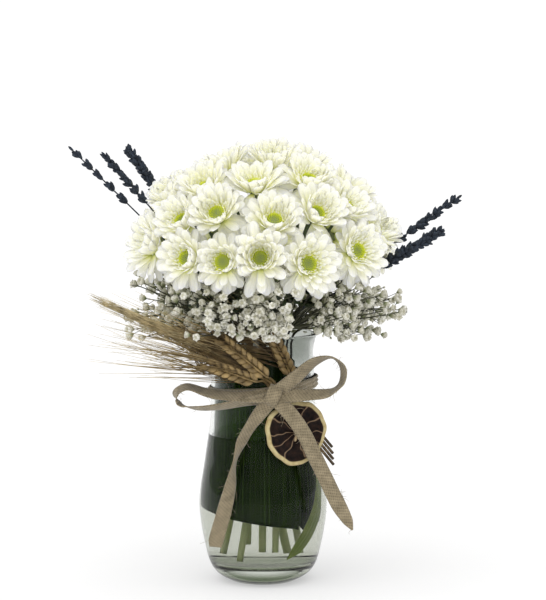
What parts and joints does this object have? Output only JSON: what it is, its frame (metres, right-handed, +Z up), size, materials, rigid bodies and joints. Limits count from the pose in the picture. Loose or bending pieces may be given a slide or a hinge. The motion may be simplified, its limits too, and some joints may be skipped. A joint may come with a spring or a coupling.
{
  "type": "daisies in a vase",
  "caption": "Clear glass vase of water holding a domed bouquet of white daisy-like flowers, baby's breath, lavender and wheat, tied at the neck with a jute bow.",
  "frame": {"origin": "middle of the vase's foot, on the surface it stands on", "axes": "+Z up the vase, -Y towards the front with the bow, +X to the front view's right"},
  "size_m": [0.3423, 0.2508, 0.3836],
  "materials": {
    "vase_glass": "clear polished glass",
    "water": "clear still water",
    "broad_leaf": "waxy dark green leaf",
    "blade_leaf": "satin mid-green leaf",
    "flower_greens": "matte green stems, leaves and flower discs",
    "white_petals": "soft white petals",
    "lavender": "dried dark blue flower spikes",
    "wheat_straw": "dried straw",
    "jute": "coarse tan plain weave",
    "citrus": "dried citrus slice",
    "gypsophila_cream": "small cream flower heads"
  },
  "bodies": {
    "root": {"blade_leaf": "blade_leaf", "bloom_back_1": "white_petals", "bloom_back_2": "white_petals", "bloom_back_3": "white_petals", "bloom_back_left_1": "white_petals", "bloom_back_left_2": "white_petals", "bloom_back_left_3": "white_petals", "bloom_back_left_4": "white_petals", "bloom_back_right_1": "white_petals", "bloom_back_right_2": "white_petals", "bloom_back_right_3": "white_petals", "bloom_back_right_4": "white_petals", "bloom_front_1": "white_petals", "bloom_front_2": "white_petals", "bloom_front_3": "white_petals", "bloom_front_4": "white_petals", "bloom_front_5": "white_petals", "bloom_front_left_1": "white_petals", "bloom_front_left_2": "white_petals", "bloom_front_left_3": "white_petals", "bloom_front_left_4": "white_petals", "bloom_front_left_5": "white_petals", "bloom_front_right_1": "white_petals", "bloom_front_right_2": "white_petals", "bloom_front_right_3": "white_petals", "bloom_front_right_4": "white_petals", "bloom_front_right_5": "white_petals", "bloom_top_1": "white_petals", "bloom_top_2": "white_petals", "bloom_top_3": "white_petals", "bloom_top_4": "white_petals", "bloom_top_5": "white_petals", "citrus_slice": "citrus", "glass_vase": "vase_glass", "gypsophila_1": "gypsophila_cream", "gypsophila_2": "gypsophila_cream", "gypsophila_3": "gypsophila_cream", "gypsophila_4": "gypsophila_cream", "gypsophila_5": "gypsophila_cream", "gypsophila_6": "gypsophila_cream", "jute_ribbon": "jute", "lavender_left_1": "lavender", "lavender_left_2": "lavender", "lavender_left_3": "lavender", "lavender_right_1": "lavender", "lavender_right_2": "lavender", "liner_leaf": "broad_leaf", "mum_spray_back": "flower_greens", "mum_spray_back_left": "flower_greens", "mum_spray_back_right": "flower_greens", "mum_spray_front": "flower_greens", "mum_spray_front_left": "flower_greens", "mum_spray_front_right": "flower_greens", "mum_spray_top": "flower_greens", "water": "water", "wheat_ear_1": "wheat_straw", "wheat_ear_2": "wheat_straw", "wheat_ear_3": "wheat_straw", "wheat_ear_4": "wheat_straw"}
  },
  "joints": []
}
